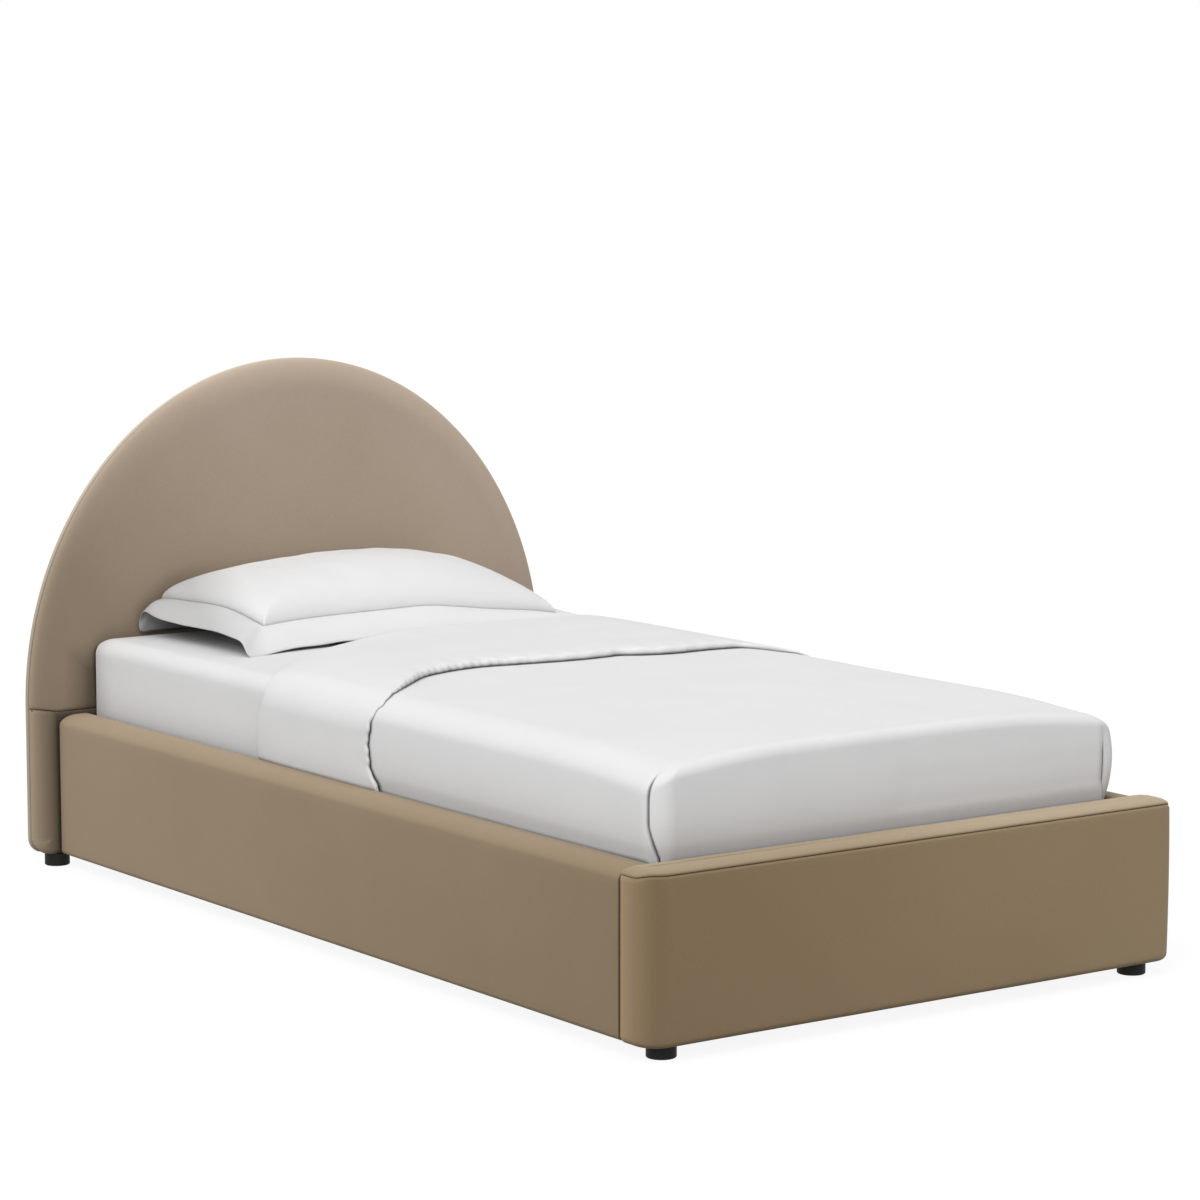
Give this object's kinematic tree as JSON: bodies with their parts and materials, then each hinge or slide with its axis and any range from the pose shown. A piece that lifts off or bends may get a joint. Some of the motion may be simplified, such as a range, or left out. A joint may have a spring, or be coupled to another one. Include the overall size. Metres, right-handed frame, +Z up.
{
  "type": "upholstered platform bed",
  "caption": "Single bed with a fully upholstered low frame, a half-moon headboard, round disc feet and made-up white bedding.",
  "frame": {"origin": "on the floor under the middle of the bed's overall box", "axes": "+Y towards the headboard, +X to the right as seen from the foot, +Z up"},
  "size_m": [1.231, 2.046, 0.9939],
  "materials": {
    "velvet": "smooth taupe velvet",
    "plywood": "raw plywood",
    "pine": "planed pine",
    "foam": "open-cell foam",
    "dust_cloth": "black non-woven cloth",
    "webbing": "woven webbing",
    "black_steel": "black powder coat",
    "zinc_steel": "zinc plated",
    "foot_plastic": "matte black",
    "ticking": "woven ticking",
    "sheet_cotton": "smooth white cotton",
    "duvet_cotton": "smooth white cotton",
    "pillow_filling": "down-proof cotton",
    "sham_cotton": "smooth white cotton"
  },
  "bodies": {
    "frame": {"bracket_bolts": "zinc_steel", "bracket_nuts": "zinc_steel", "bracket_screws": "zinc_steel", "centre_leg_foot": "pine", "centre_leg_head": "pine", "centre_rail": "pine", "centre_rail_hangers": "black_steel", "foot_corner_brackets": "black_steel", "foot_front_left": "foot_plastic", "foot_front_right": "foot_plastic", "foot_head_left": "foot_plastic", "foot_head_right": "foot_plastic", "foot_screws": "zinc_steel", "footboard_back_board": "plywood", "footboard_corner_blocks": "pine", "footboard_front_board": "plywood", "footboard_front_cover": "velvet", "footboard_padding": "foam", "footboard_stiffeners": "plywood", "footboard_top_cover": "velvet", "head_corner_brackets": "black_steel", "headboard_back_cloth": "dust_cloth", "headboard_edge_band": "velvet", "headboard_foam": "foam", "headboard_foot_blocks": "pine", "headboard_lower_cover": "velvet", "headboard_panel": "plywood", "headboard_posts": "pine", "headboard_strips": "plywood", "headboard_upper_cover": "velvet", "side_rail_board_left": "plywood", "side_rail_board_right": "plywood", "side_rail_cover_left": "velvet", "side_rail_cover_right": "velvet", "side_rail_ledger_left": "pine", "side_rail_ledger_right": "pine", "side_rail_padding_left": "foam", "side_rail_padding_right": "foam", "slat_01": "pine", "slat_02": "pine", "slat_03": "pine", "slat_04": "pine", "slat_05": "pine", "slat_06": "pine", "slat_07": "pine", "slat_08": "pine", "slat_09": "pine", "slat_10": "pine", "slat_11": "pine", "slat_12": "pine", "slat_13": "pine", "slat_screws": "zinc_steel", "slat_webbing": "webbing"},
    "mattress": {"mattress": "ticking", "fitted_sheet": "sheet_cotton"},
    "duvet": {"duvet": "duvet_cotton"},
    "pillow": {"pillow": "pillow_filling", "pillow_sham": "sham_cotton"},
    "leveller_head": {"leveller_head": "zinc_steel"},
    "leveller_foot": {"leveller_foot": "zinc_steel"}
  },
  "joints": [
    {"name": "mattress_lift", "type": "slide", "parent": "frame", "child": "mattress", "axis": [0, 0, 1], "range_m": [0, 0.15]},
    {"name": "duvet_lift", "type": "slide", "parent": "mattress", "child": "duvet", "axis": [0, 0, 1], "range_m": [0, 0.22]},
    {"name": "pillow_lift", "type": "slide", "parent": "duvet", "child": "pillow", "axis": [0, 0, 1], "range_m": [0, 0.15]},
    {"name": "leveller_head_screw", "type": "slide", "parent": "frame", "child": "leveller_head", "axis": [0, 0, 1], "range_m": [-0.01, 0]},
    {"name": "leveller_foot_screw", "type": "slide", "parent": "frame", "child": "leveller_foot", "axis": [0, 0, 1], "range_m": [-0.01, 0]}
  ]
}
